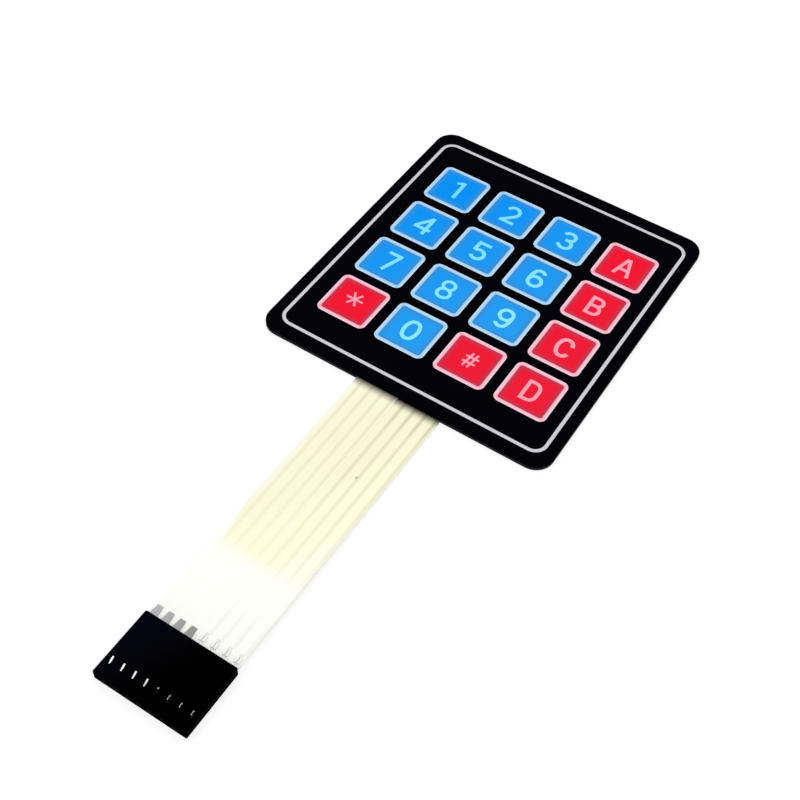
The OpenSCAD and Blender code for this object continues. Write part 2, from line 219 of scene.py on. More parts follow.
@dataclass(frozen=True)
class LayeredFinish(Finish):
    """Tones laid over one another, with a fine grain that breaks up their gloss.

    Attributes:
        tone: undermost colour.
        origin: X and Y from which the pattern is counted.
        grain: width of a grain.
        grain_h: height of the grains.
        stretch: how much longer than wide they are, along the tail.
        roughness: dullness of the gloss.
        gloss_play: how far a grain changes that dullness, to each side.
        specular: strength of the gloss, where 0.5 is a plain plastic's.
        metallic: 1 for a bare metal.
    """

    tone: str
    _: KW_ONLY
    origin: Pair = (0.0, 0.0)
    grain: float = 0.35
    grain_h: float = 0.002
    stretch: float = 1.0
    roughness: float = 0.5
    gloss_play: float = 0.0
    specular: float = 0.5
    metallic: float = 0.0

    @abstractmethod
    def layers(self, tree: Tree, place: Node, grains: Node) -> Iterator[Layer]:
        """Give the layers over the undermost colour, in order.

        Args:
            tree: node tree that takes their nodes.
            place: the surface's place, counted from the origin.
            grains: the grain, from 0 to 1.

        Yields:
            Each layer.
        """

    def paint(self, tree: Tree, shader: Node) -> None:
        """Add the grain, the layers of colour and the gloss."""
        add = partial(add_node, tree)
        place = surface_place(tree, self.origin)
        drawn_out = add("Mapping", {"Scale": (1.0, 1 / self.stretch, 1.0)}, {"Vector": place})
        noise = {"Scale": 1 / self.grain, "Detail": GRAIN_DETAIL}
        grains = add("TexNoise", noise, {"Vector": drawn_out})
        relief = add("Bump", {"Distance": self.grain_h * MM}, {"Height": grains})
        dull, play = self.roughness, self.gloss_play
        gloss = add("MapRange", {"To Min": dull - play, "To Max": dull + play}, {"Value": grains})
        below = {}
        for share, tone, blend in self.layers(tree, place, grains):
            colours = {"A": linear(self.tone), "B": linear(tone)}
            settings = {"data_type": "RGBA", "blend_type": blend, **colours}
            below = {"A": add("Mix", settings, {"Factor": share, **below})}
        add(
            shader,
            {"Specular IOR Level": self.specular, "Metallic": self.metallic},
            {"Base Color": below["A"], "Roughness": gloss, "Normal": relief},
        )


@dataclass(frozen=True)
class MottledFinish(LayeredFinish):
    """A nearly even surface: two close tones in soft patches. The defaults are a screen print's.

    Attributes:
        other_tone: colour that the patches lean to.
        patch: width of a patch.
        edge_tone: painted shade on the cut edges of a layer, or None where they are as its faces.
        drifts: slow changes, each with the colour that it ends in.
    """

    other_tone: str
    _: KW_ONLY
    patch: float = 0.8
    gloss_play: float = 0.05
    specular: float = 0.03
    edge_tone: str | None = None
    drifts: tuple[tuple[Drift, str], ...] = ()

    def layers(self, tree: Tree, place: Node, grains: Node) -> Iterator[Layer]:
        """Yield the patches, the slow changes and the painted shade on the cut edges."""
        add = partial(add_node, tree)
        noise = {"Scale": 1 / self.patch, "Detail": PATCH_DETAIL}
        yield add("TexNoise", noise, {"Vector": place}), self.other_tone, "MIX"
        for drift, far_tone in self.drifts:
            yield drift.share(tree), far_tone, "MIX"
        # Painted shade: the cut edges, whose faces turn sideways, are darkened
        if self.edge_tone:
            facing = add("SeparateXYZ", links={"Vector": add("TexCoord").outputs["Normal"]})
            upward = add("Math", {"operation": "ABSOLUTE"}, {0: facing.outputs["Z"]})
            edge = add("Math", {"operation": "LESS_THAN", 1: 0.5}, {0: upward})
            yield edge, self.edge_tone, "MIX"


@dataclass(frozen=True)
class KeyInk(LayeredFinish):
    """Screen-printed ink of the keys: even in the middle, changed in a band along the outside.

    Its grain is the ink's fine unevenness, drawn coarser than the real 0.1 mm to show.

    Attributes:
        far_tone: colour of the lower right key, where the undermost is that of the upper left one.
        rim_tone: colour at the outside.
        pitch: distance between columns and between rows, from the origin on the first key.
        last_key: centre of the lower right key.
        half: distance of the outside from a key's centre.
        rim: width of the band.
        rim_play: how far the grain changes the share of the band.
    """

    far_tone: str
    rim_tone: str
    pitch: Pair
    last_key: Pair
    half: float
    rim: float
    _: KW_ONLY
    rim_play: float = 0.3
    specular: float = 0.02

    def layers(self, tree: Tree, place: Node, grains: Node) -> Iterator[Layer]:
        """Yield the change over the keys and the band."""
        add = partial(add_node, tree)
        yield Drift(self.origin, self.last_key).share(tree), self.far_tone, "MIX"
        axes = add("SeparateXYZ", links={"Vector": place})
        across, along = (
            add("Math", {"operation": "PINGPONG", 1: pitch / 2}, {0: axes.outputs[axis]})
            for axis, pitch in zip("XY", self.pitch)
        )
        reach = add("Math", {"operation": "MAXIMUM"}, {0: across, 1: along})
        limits = {"From Min": self.half - self.rim, "From Max": self.half}
        band = add("MapRange", {"interpolation_type": "SMOOTHSTEP", **limits}, {"Value": reach})
        play = self.rim_play
        uneven = add("Math", {"operation": "MULTIPLY_ADD", 1: play, 2: -play / 2}, {0: grains})
        yield add("Math", {"use_clamp": True}, {0: band, 1: uneven}), self.rim_tone, "MIX"


@dataclass(frozen=True)
class TerminalTin(LayeredFinish):
    """Tin plate of a terminal: plain on the film, in painted shade in the housing but for its
    crown.

    The crown is the strip of the bent lance that turns to the light, left bright as a painted
    highlight. It runs a little aslant. The grain is that of the drawing lines.

    Attributes:
        far_tone: colour on the film next to the tail's middle.
        drift: where the undermost colour goes over to it.
        crown_w: width of the painted highlight along the crown, next to nothing where none is seen.
        flank: where the crown's flank starts and ends, in shares of that width.
        crown: X and Y of the first crown's middle.
        slant: how far the crown leans to the right for each millimetre to the front.
        dark_tone: painted shade in the housing.
        housing_y: Y of the housing's rear.
        pitch: distance between terminals.
    """

    far_tone: str
    drift: Drift
    _: KW_ONLY
    crown_w: float = 0.01
    flank: Pair = (0.3, 0.6)
    crown: Pair = (-7.98, -116.15)
    slant: float = 0.2
    # Painted shade in the housing
    dark_tone: str = "#060606"
    housing_y: float = -105.3
    pitch: float = 2.54
    grain: float = 0.08
    stretch: float = 6.0

    def layers(self, tree: Tree, place: Node, grains: Node) -> Iterator[Layer]:
        """Yield the change over the plates, and the painted shade in the housing round the crown's
        painted highlight.
        """
        add = partial(add_node, tree)
        yield self.drift.share(tree), self.far_tone, "MIX"
        axes = add("SeparateXYZ", links={"Vector": surface_place(tree, self.crown)})
        x, y = axes.outputs["X"], axes.outputs["Y"]
        lean = add("Math", {"operation": "MULTIPLY_ADD", 1: self.slant}, {0: y, 2: x})
        off_crown = add("Math", {"operation": "PINGPONG", 1: self.pitch / 2}, {0: lean})
        start, end = (share * self.crown_w for share in self.flank)
        limits = {"From Min": start, "From Max": end}
        flank = add(
            "MapRange", {"interpolation_type": "SMOOTHSTEP", **limits}, {"Value": off_crown}
        )
        # Painted shade: in the housing the tin is darkened, but for a painted highlight along each
        # crown
        rear = self.housing_y - self.crown[1]
        inside = add("Math", {"operation": "LESS_THAN", 1: rear}, {0: y})
        dark = add("Math", {"operation": "MULTIPLY"}, {0: inside, 1: flank})
        yield dark, self.dark_tone, "MIX"


class TrackPlace(Enum):
    """Where the printed tracks lie under the surface that is seen.

    Each value holds how the lines shade the cream of the tail, its white end and its first
    millimetres.
    """

    UNDER_FILM = ("#f3f2f1", "#fdfdfe", "#fafaf8")
    UNDER_COAT = ("#ecebe5", "#f6f5f5", "#efeee9")


@dataclass(frozen=True)
class TailFinish(LayeredFinish):
    """Milky polyester film and its satin coat: cream, with painted shade beside each silver track.

    The lines are painted shade on the flanks of the ridges over the tracks, on the side away from
    the light. The cream grows lighter towards the lower right, is paler along the left margin, and
    goes over into a painted white of strong light before the plug. The lines are bleached out at
    the start of the white and come back at the plug. Painted shade darkens the film where it comes
    out of the pad and along its right edge, painted light brightens it along the slit, and inside
    the pad its cut edge is painted near black as shade.

    Attributes:
        tracks: where the tracks lie.
        tone: cream of the film.
        origin: X of the tail's middle, and 0.
        patch_tone: lighter cream of its patches.
        light_tone: cream of its lower right.
        margin_tone: paler cream of the left margin.
        pale_tone: white of its end, painted light.
        edge_tone: painted shade, a greyer tone along the right edge.
        seam_tone: painted light along the slit between the halves, which offsets its shade.
        root_tone: shade at the pad.
        speck_tone: colour of a fleck in the coat.
        pad_tone: painted shade, near black, on the cut edge in the pad.
        half_w: half the tail's width.
        pitch: distance between tracks.
        patch: width of a patch.
        patch_rim: levels of the patches' noise at which one starts and is full.
        line_w: width of a line.
        line_soft: how far its edges are blurred, to each side.
        line_shift: distance of a line from the middle of its track.
        root: Y at which the shade at the pad ends and where it would be full.
        near_root: Y at which the lines are no longer deeper, and where they are deepest.
        light: where the cream starts and ends to grow lighter, counted aslant.
        slant: how much earlier it does so for each millimetre to the right.
        fade: Y at which the cream starts and ends to go over into the painted white.
        wander: how far that border wanders.
        wander_w: width of its bends.
        back: Y at which the lines start and end to come back.
        margin_w: width of the paler margin.
        margin_lead: how much earlier the margin goes over into white.
        waning: Y at which the lines would be gone and where they are full, in the light cream.
        paling: where the light cream starts and ends to grow paler with painted light, counted
            aslant.
        edge_w: width of the greyer right edge.
        seam_w: width of the lighter seam, to each side.
        pad_edge: Y of the pad's edge, with a little overlap.
        speck: X, Y and Z of the fleck.
        speck_r: its radius.
    """

    tone: str = "#faf5d6"
    _: KW_ONLY
    tracks: TrackPlace
    origin: Pair = (0.85, 0.0)
    patch_tone: str = "#fcf8da"
    light_tone: str = "#fffddd"
    margin_tone: str = "#f9f9ea"
    pale_tone: str = "#fffffa"
    edge_tone: str = "#eceadc"
    seam_tone: str = "#fffdea"
    root_tone: str = "#0a0a08"
    speck_tone: str = "#a89d7c"
    pad_tone: str = "#030306"
    half_w: float = 10.05
    pitch: float = 2.54
    patch: float = 12.0
    patch_rim: Pair = (0.35, 0.65)
    line_w: float = 0.7
    line_soft: float = 0.3
    line_shift: float = 0.5
    root: Pair = (-40.9, -38.0)
    near_root: Pair = (-48.0, -41.0)
    light: Pair = (-58.0, -76.0)
    slant: float = 2.0
    fade: Pair = (-83.5, -88.5)
    wander: float = 1.5
    wander_w: float = 5.0
    back: Pair = (-92.0, -99.0)
    margin_w: float = 1.6
    margin_lead: float = 9.0
    waning: Pair = (-110.0, -48.0)
    paling: Pair = (-84.0, -100.0)
    edge_w: float = 0.55
    seam_w: float = 0.5
    pad_edge: float = -38.47
    speck: tuple[float, float, float] = (4.8, -59.6, 0.63)
    speck_r: float = 0.42
    grain: float = 0.5
    roughness: float = 0.45
    specular: float = 0.1

    def layers(self, tree: Tree, place: Node, grains: Node) -> Iterator[Layer]:
        """Yield the creams, the painted light at the end and slit, the painted shade and the fleck.
        """
        add = partial(add_node, tree)
        axes = add("SeparateXYZ", links={"Vector": place})
        x, y = axes.outputs["X"], axes.outputs["Y"]
        wander, patches = (
            add("TexNoise", {"Scale": 1 / width, "Detail": GRAIN_DETAIL}, {"Vector": place})
            for width in (self.wander_w, self.patch)
        )
        aslant = add("Math", {"operation": "MULTIPLY_ADD", 1: -self.slant}, {0: x, 2: y})
        along = add("Math", {"operation": "MULTIPLY_ADD", 1: self.wander}, {0: wander, 2: y})
        margin = (self.margin_w - self.half_w, -self.half_w)
        lead = add(
            "MapRange",
            {"From Min": margin[0], "From Max": margin[1], "To Max": -self.margin_lead},
            {"Value": x},
        )
        led = add("Math", {"operation": "ADD"}, {0: along, 1: lead})
        half_pitch = self.pitch / 2
        from_line = add("Math", {"operation": "ADD", 1: half_pitch - self.line_shift}, {0: x})
        off_line = add("Math", {"operation": "PINGPONG", 1: half_pitch}, {0: from_line})
        off_seam = add("Math", {"operation": "ABSOLUTE"}, {0: x})
        speck = (self.speck[0] - self.origin[0], *self.speck[1:])
        off_speck = add("VectorMath", {"operation": "DISTANCE", 1: speck}, {0: place})
        fade = [edge + self.wander / 2 for edge in self.fade]
        line = (off_line, *(self.line_w / 2 + soft for soft in (self.line_soft, -self.line_soft)))
        edge = self.half_w - self.edge_w, self.half_w - self.edge_w / 3
        cream_line, end_line, root_line = self.tracks.value
        # Tone and kind of blend of each layer, and its soft steps, whose shares multiply: what
        # each step follows, where it starts and ends, and its share at the end
        table = (
            (self.patch_tone, "MIX", (patches, *self.patch_rim, 1.0)),
            (self.light_tone, "MIX", (aslant, *self.light, 1.0)),
            # Painted light: the light cream pales towards the white end
            (self.pale_tone, "MIX", (aslant, *self.paling, 0.5)),
            # Painted light along the slit, which offsets its shade
            (self.seam_tone, "MIX", (off_seam, self.seam_w, self.seam_w / 4, 0.35)),
            (self.margin_tone, "MIX", (x, *margin, 1.0)),
            # Painted light: the cream goes over into white before the plug
            (self.pale_tone, "MIX", (led, *fade, 1.0)),
            # Painted shade: the lines on the ridges' flanks, in the cream, at the plug and near the
            # pad
            (
                cream_line, "MULTIPLY",
                (*line, 1.0), (y, *self.waning, 1.0), (led, *reversed(fade), 1.0),
            ),
            (end_line, "MULTIPLY", (*line, 1.0), (y, *self.back, 1.0)),
            (root_line, "MULTIPLY", (*line, 1.0), (y, *self.near_root, 1.0)),
            # Painted shade along the right edge
            (self.edge_tone, "MIX", (x, *edge, 0.8)),
            # Painted shade where the film comes out of the pad
            (self.root_tone, "MULTIPLY", (y, *self.root, 1.0)),
            (self.speck_tone, "MIX", (off_speck, self.speck_r, self.speck_r / 2, 0.6)),
            # Painted shade: the cut edge inside the pad, near black
            (self.pad_tone, "MIX", (y, self.pad_edge, self.pad_edge + SHARP, 1.0)),
        )
        for tone, blend, *steps in table:
            share = None
            for value, start, end, full in steps:
                limits = {"From Min": start, "From Max": end, "To Max": full}
                step = add(
                    "MapRange", {"interpolation_type": "SMOOTHSTEP", **limits}, {"Value": value}
                )
                times = {"operation": "MULTIPLY"}
                share = add("Math", times, {0: share, 1: step}) if share else step
            yield share, tone, blend


@dataclass(frozen=True)
class StudioFloor(Finish):
    """Matt white paper sweep: white to the eye and in reflections, and it keeps a faint shadow.

    Attributes:
        glow: light that the seen floor gives by itself.
        seen_white: share of the light falling on it that the seen floor gives back.
        lit_white: share that it gives back to the object.
        grain: width of a fleck of the paper.
        grain_play: how far a fleck changes either share, to each side.
    """

    glow: float = 0.72
    seen_white: float = 0.34
    lit_white: float = 0.85
    grain: float = 2.0
    grain_play: float = 0.01

    def paint(self, tree: Tree, shader: Node) -> None:
        """Replace the Principled shader by one that tells seen rays from bounced light."""
        add = partial(add_node, tree)
        seen = seen_rays(tree)
        grains = add("TexNoise", {"Scale": 1 / self.grain}, {"Vector": surface_place(tree)})
        seen_tone, lit_tone = (
            add(
                "MapRange",
                {"To Min": white - self.grain_play, "To Max": white + self.grain_play},
                {"Value": grains},
            )
            for white in (self.seen_white, self.lit_white)
        )
        tone = add(
            "Mix", {"data_type": "RGBA"}, {"Factor": seen, "A": lit_tone, "B": seen_tone}
        )
        paper = add("BsdfDiffuse", links={"Color": tone})
        strength = add("Math", {"operation": "MULTIPLY", 1: self.glow}, {0: seen})
        glow = add("Emission", links={"Strength": strength})
        front = add("AddShader", links={0: paper, 1: glow})
        behind = add("NewGeometry").outputs["Backfacing"]
        both = add("MixShader", links={0: behind, 1: front, 2: add("BsdfTransparent")})
        output = next(node for node in tree.nodes if node.type == "OUTPUT_MATERIAL")
        add(output, links={"Surface": both})
        tree.nodes.remove(shader)


@dataclass(frozen=True)
class Go:
    """Straight run of a stroke.

    Attributes:
        length: its length.
    """

    length: float


@dataclass(frozen=True)
class Turn:
    """Arc of a stroke.

    Attributes:
        radius: radius of its middle line.
        angle: degrees that it turns through, to the left where positive.
    """

    radius: float
    angle: float

    def __mul__(self, times: float) -> "Turn":
        """Return the arc with its angle multiplied, where -1 turns it over."""
        return Turn(self.radius, self.angle * times)


@dataclass(frozen=True)
class Stroke:
    """One stroke of a legend, drawn from a point and a heading.

    Attributes:
        start: X and Y from the key's centre.
        heading: degrees from +X, to the left.
        moves: runs and arcs, in order.
        width: width of the stroke, or None for the legend's own.
    """

    start: Pair
    heading: float
    moves: tuple[Go | Turn, ...]
    width: float | None = None

    def turned(self) -> "Stroke":
        """Return the stroke turned half round the key's centre."""
        return Stroke((-self.start[0], -self.start[1]), self.heading + 180, self.moves, self.width)


@dataclass
class Pen:
    """Draws strokes as flat ribbons: its nib is an edge, extruded along runs and spun round arcs.

    Attributes:
        mesh: bmesh that takes the ribbons.
        width: width of the nib.
        height: Z of the ribbons.
        arc_step: degrees between two edges of an arc.
    """

    mesh: Mesh
    width: float
    height: float
    arc_step: float = 9.0

    def draw(self, stroke: Stroke, key: Pair) -> None:
        """Draw one stroke.

        Args:
            stroke: the stroke.
            key: centre of its key.
        """
        mesh = self.mesh
        drawn = set(mesh.verts)
        place = Vector((key[0] + stroke.start[0], key[1] + stroke.start[1], self.height))
        heading = math.radians(stroke.heading)
        across = self._left(heading) * (stroke.width or self.width) / 2
        nib = mesh.edges.new([mesh.verts.new(place + across), mesh.verts.new(place - across)])
        for move in stroke.moves:
            if isinstance(move, Go):
                step = Vector((math.cos(heading), math.sin(heading), 0)) * move.length
                made = bmesh.ops.extrude_edge_only(mesh, edges=[nib])["geom"]
                verts = [g for g in made if isinstance(g, bmesh.types.BMVert)]
                bmesh.ops.translate(mesh, verts=verts, vec=step)
                nib = mesh.edges.get(verts)
                place = place + step
            else:
                angle = math.radians(move.angle)
                centre = place + self._left(heading) * math.copysign(move.radius, angle)
                made = bmesh.ops.spin(
                    mesh,
                    geom=[nib, *nib.verts],
                    cent=centre,
                    axis=(0, 0, 1),
                    dvec=(0, 0, 0),
                    angle=angle,
                    steps=max(2, round(abs(move.angle) / self.arc_step)),
                    use_merge=False,
                    use_duplicate=False,
                )["geom_last"]
                nib = next(g for g in made if isinstance(g, bmesh.types.BMEdge))
                place = centre + Matrix.Rotation(angle, 3, "Z") @ (place - centre)
                heading += angle
        ribbon = [v for v in mesh.verts if v not in drawn]
        bmesh.ops.remove_doubles(mesh, verts=ribbon, dist=WELD)

    @staticmethod
    def _left(heading: float) -> Vector:
        """Return the unit vector to the left of a heading."""
        return Vector((-math.sin(heading), math.cos(heading), 0))


@dataclass(frozen=True)
class Oval:
    """Middle line of a round letter: four arcs, tighter at its ends than on its sides.

    Attributes:
        half_w: half its width.
        half_h: half its height.
        end_r: radius of its ends.
    """

    half_w: float
    half_h: float
    end_r: float

    @property
    def side(self) -> Turn:
        """Arc of a side above the oval's middle, which runs smoothly into an end."""
        rise = self.half_h - self.end_r
        radius = (self.half_w**2 + rise**2 - self.end_r**2) / (2 * (self.half_w - self.end_r))
        return Turn(radius, math.degrees(math.atan2(rise, radius - self.half_w)))

    @property
    def end(self) -> Turn:
        """Arc of an end on one side of the oval's axis."""
        return Turn(self.end_r, 90 - self.side.angle)


@dataclass
class Legends:
    """The printed numerals, letters and signs on the keys, in a plain sans-serif.

    Attributes:
        cap: height of the numerals and letters.
        stroke: width of their strokes.
        print_z: Z of the face that they are printed on.
        print_t: thickness of the print.
        bowl: radii of the upper and lower bowl of B, 3 and 8.
        flat: half the straight part between two arcs of such a bowl.
    """

    cap: float = 5.95
    stroke: float = 0.86
    print_z: float = 0.98
    print_t: float = 0.02
    bowl: Pair = (1.22, 1.345)
    flat: float = 0.15

    def strokes(self, sign: str) -> tuple[Stroke, ...]:
        """Give the strokes of one sign.

        Args:
            sign: numeral, letter, "star" or "hash".

        Returns:
            Its strokes, round the key's centre.
        """
        # Heights of a stem's end, of the middle line of an upper bar, and of where two bowls meet
        top = self.cap / 2
        rim = (self.cap - self.stroke) / 2
        waist = rim - 2 * self.bowl[0]
        flat = self.flat
        stem = (Go(self.cap),)
        # Radius of each bowl, and the way that it turns from the waist
        bowls = tuple(zip(self.bowl, (1, -1)))
        nought = Oval(1.57, rim, 1.3)
        side, end = nought.side, nought.end
        six = Oval(1.5, rim, 1.25)
        six_bowl = 1.5
        hook = (Go(rim - six_bowl), six.side * -1, Turn(six.end_r, -six.end.angle - 66))
        sixes = (
            Stroke((six_bowl, six_bowl - rim), 90, (Turn(six_bowl, 360),)),
            Stroke((-six.half_w, six_bowl - rim), 90, hook),
        )
        star, arm = Vector((-0.15, 0.55)), Vector((2.05, 0.0))
        table: dict[str, tuple[Stroke, ...]] = {
            "0": (Stroke((nought.half_w, 0), 90, (side, end * 2, side * 2, end * 2, side)),),
            "1": (
                Stroke((0.5, -top), 90, stem),
                Stroke((-1.15, 1.95), 8, (Turn(2.2, 32), Go(0.45)), 0.7),
            ),
            "2": (
                Stroke((0, rim), 180, (Turn(1.45, 78),)),
                Stroke((0, rim), 0, (Turn(1.45, -90), Turn(1.9, -45), Go(3.25))),
                Stroke((-1.85, -rim), 0, (Go(3.7),)),
            ),
            "3": tuple(
                Stroke(
                    (-0.5, waist),
                    0,
                    (Go(0.5 + flat), Turn(radius, 180 * way), Go(2 * flat), Turn(radius, 75 * way)),
                )
                for radius, way in bowls
            ),
            "4": (
                Stroke((0.95, 2.7), 234.5, (Go(4.75),)),
                Stroke((-2.1, -1.2), 0, (Go(4.2),)),
                Stroke((0.95, top), -90, stem),
            ),
            "5": (
                Stroke((-1.6, rim), 0, (Go(3.25),)),
                Stroke((-1.22, rim), -93, (Go(2.75),)),
                Stroke((-1.149, -0.101), 50, (Turn(six_bowl, -288),)),
            ),
            "6": sixes,
            "7": (
                Stroke((-1.7, rim), 0, (Go(3.4),)),
                Stroke((1.42, 2.7), 250.6, (Go(6.0),)),
            ),
            "8": tuple(
                Stroke((0, waist), 0, (Go(flat), half, Go(2 * flat), half, Go(flat)), 0.78)
                for half in (Turn(radius, 180 * way) for radius, way in bowls)
            ),
            "9": tuple(stroke.turned() for stroke in sixes),
            "A": (
                *(Stroke((-1.68 * way, -top), 90 - 14.8 * way, (Go(5.9),)) for way in (1, -1)),
                Stroke((-1.1, -0.85), 0, (Go(2.2),)),
            ),
            "B": (
                Stroke((-1.35, -top), 90, stem),
                *(
                    Stroke((-1.35, y), 0, (Go(1.45), Turn(radius, -180), Go(1.45)))
                    for y, radius in zip((rim, waist), self.bowl)
                ),
            ),
            "C": (
                Stroke((0.05, rim), 0, (end * -1, Turn(side.radius, -12)), 0.9),
                Stroke((0.05, rim), 180, (end, side * 2, end * 2, Turn(side.radius, 6)), 0.9),
            ),
            "D": (
                Stroke((-1.3, -top), 90, stem),
                Stroke(
                    (-1.3, rim),
                    0,
                    (Go(1.2), Turn(1.6, -90), Go(2 * (rim - 1.6)), Turn(1.6, -90), Go(1.2)),
                ),
            ),
            "star": tuple(
                Stroke(
                    tuple(star - Matrix.Rotation(math.radians(angle), 2) @ arm),
                    angle,
                    (Go(2 * arm.length),),
                    0.5,
                )
                for angle in (0, 60, 120)
            ),
            "hash": (
                *(Stroke((x, -2.02), 82, (Go(4.15),), 0.5) for x in (-0.8, 0.33)),
                *(Stroke(start, 0, (Go(3.1),), 0.5) for start in ((-1.5, -0.75), (-1.4, 0.8))),
            ),
        }
        return table[sign]

    def build(self, sign: str, key: Pair) -> Object:
        """Draw one sign on its key, as a thin layer of print.

        Args:
            sign: numeral, letter, "star" or "hash".
            key: centre of the key.

        Returns:
            The piece.
        """
        mesh = bmesh.new()
        pen = Pen(mesh, self.stroke, self.print_z)
        for stroke in self.strokes(sign):
            pen.draw(stroke, key)
        thicken(mesh, self.print_t)
        piece = finished_piece(f"legend_{sign}", mesh)
        ink = piece.modifiers.new("strokes run into one layer", "BOOLEAN")
        ink.operation = "UNION"
        ink.solver = "EXACT"
        ink.operand_type = "COLLECTION"
        ink.use_self = True
        return piece


def thicken(mesh: Mesh, rise: float) -> None:
    """Give flat faces a thickness.

    Args:
        mesh: bmesh that holds only those faces.
        rise: Z from the faces to their copies.
    """
    made = bmesh.ops.extrude_face_region(mesh, geom=mesh.faces[:])["geom"]
    verts = [g for g in made if isinstance(g, bmesh.types.BMVert)]
    bmesh.ops.translate(mesh, verts=verts, vec=(0, 0, rise))


def new_object(name: str, data: bpy.types.ID) -> Object:
    """Add an object to the scene.

    Args:
        name: name of the object.
        data: its mesh, light or camera.

    Returns:
        The object, at the origin.
    """
    made = bpy.data.objects.new(name, data)
    bpy.context.scene.collection.objects.link(made)
    return made


def mesh_object(name: str, mesh: Mesh) -> Object:
    """Turn a bmesh into an object.

    Args:
        name: name of the object.
        mesh: its bmesh in millimetres, which is freed.

    Returns:
        The object, at the origin.
    """
    bmesh.ops.scale(mesh, verts=mesh.verts, vec=(MM,) * 3)
    data = bpy.data.meshes.new(name)
    mesh.to_mesh(data)
    mesh.free()
    return new_object(name, data)


def finished_piece(name: str, mesh: Mesh) -> Object:
    """Turn a bmesh into a piece that rides on the part, with its faces outwards.

    Args:
        name: name of the piece.
        mesh: its bmesh in millimetres, which is freed.

    Returns:
        The piece, at the origin.
    """
    bmesh.ops.recalc_face_normals(mesh, faces=mesh.faces)
    piece = mesh_object(name, mesh)
    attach(piece, "root")
    return piece


def dress(piece: Object, finish: Finish) -> None:
    """Give a piece its finish and report it.

    Args:
        piece: CAD node or new piece.
        finish: its finish.
    """
    piece.data.materials.clear()
    piece.data.materials.append(finish.material())
    log.info("%s: %s, %d faces", piece.name, finish.name, len(piece.data.polygons))


# Glassine release paper with a silicone coat: pale buff, with faint cloudy fibres. Its die-cut edge
# is painted near black as shade along the side of the pad.
RELEASE_PAPER = MottledFinish(
    "buff release paper", "liner_paper", "#d8cda9", "#cabd95",
    patch=2.5, grain=0.6, grain_h=0.006, roughness=0.55, specular=0.3, edge_tone="#08080a",
)
# Black acrylic transfer adhesive: only its cut edge is seen, dull black.
ACRYLIC_ADHESIVE = MottledFinish(
    "black acrylic adhesive", "black_adhesive", "#0a0a0c", "#060608",
    patch=3.0, grain=0.3, grain_h=0.004, roughness=0.7, specular=0.08,
)
# Black polyester spacer, adhesive on both faces: a dull black edge.
SPACER_FILM = MottledFinish(
    "black polyester spacer", "spacer_film", "#09090b", "#050507",
    patch=3.0, grain=0.3, grain_h=0.004, roughness=0.65, specular=0.08,
)
# Flexible silver ink: pale and slightly metallic, with a coarse dry grain.
SILVER_INK = MottledFinish(
    "printed silver ink", "silver_ink", "#ececea", "#dededd",
    patch=0.6, grain=0.12, grain_h=0.004, roughness=0.45, specular=0.5, metallic=0.3,
)
# Carbon ink over the contact lands: dull graphite black.
CARBON_INK = MottledFinish(
    "printed carbon ink", "carbon_ink", "#2c2c2e", "#232325",
    patch=0.6, grain=0.12, grain_h=0.003, roughness=0.7, specular=0.3,
)
# Textured polycarbonate with black print behind it: a deep, nearly unreflecting black, tinged blue
# by painted glare from the blue keys. The real stipple is 0.1 mm wide, and is drawn at 0.35 mm
# to show.
BLACK_FACE = MottledFinish(
    "black textured polycarbonate", "overlay_film", "#020209", "#010105",
    patch=14.0, grain_h=0.003, roughness=0.55, specular=0.004,
)
# Screen-printed white line, greyed by the film over it: the small clots of ink make it uneven.
GREY_LINE = MottledFinish(
    "grey-white line print", "pale_grey_print", "#d6d6e0", "#c6c6d0", patch=0.6
)
# The same white ink, thin enough to be tinged by the blue or red under it: deeper on the lower
# right keys, where the light falls off.
OVER_THE_KEYS = Drift((-21.4, 21.6), (22.4, -21.6))
BLUE_LEGEND = MottledFinish(
    "pale blue legend print", "pale_blue_print", "#7ee0ff", "#74d9fb",
    drifts=((OVER_THE_KEYS, "#98f0ff"),),
)
RED_LEGEND = MottledFinish("pale pink legend print", "pale_pink_print", "#ffa8b9", "#fb9bae")
# Injection-moulded black nylon: near black with a trace of blue-violet to the left, satin, finely
# pitted by the mould. The pits are drawn at 0.25 mm to show.
MOULDED_NYLON = MottledFinish(
    "moulded black nylon", "housing_plastic", "#070716", "#04040b",
    patch=6.0, grain=0.25, grain_h=0.004, roughness=0.42, specular=0.001,
    drifts=((Drift((-7.0, -107.0), (2.0, -112.0)), "#010101"),),
)
# Stamped phosphor bronze with a tin plate: cool grey, softly mirroring, drawn along the strip that
# it was stamped from. The plates turn away from the light towards the middle of the tail.
OVER_THE_PLATES = Drift((-8.0, -104.0), (0.0, -104.0))
TINNED_BRONZE = TerminalTin(
    "tin-plated bronze", "tinned_bronze", "#b2b2b4", "#929292",
    OVER_THE_PLATES, roughness=0.25, metallic=1.0, crown_w=0.36,
)
# The same plate where it is curled over on the film, in a lighter copy of the tin: a painted
# highlight.
CLINCHED_TIN = TerminalTin(
    "bright clinched tin", "tinned_bronze", "#f4f4f2", "#f4f4f2",
    OVER_THE_PLATES, roughness=0.35, metallic=0.7,
)
# The same plate in a lighter copy, on each bent lip that stands for a painted glint in a window.
BRIGHT_TIN = MottledFinish(
    "bright bent tin", "tinned_bronze", "#f2f2f0", "#e6e6e4",
    patch=1.2, grain=0.08, roughness=0.3, specular=0.5, metallic=0.8, stretch=6.0,
)
STUDIO_PAPER = StudioFloor("white paper sweep", "")


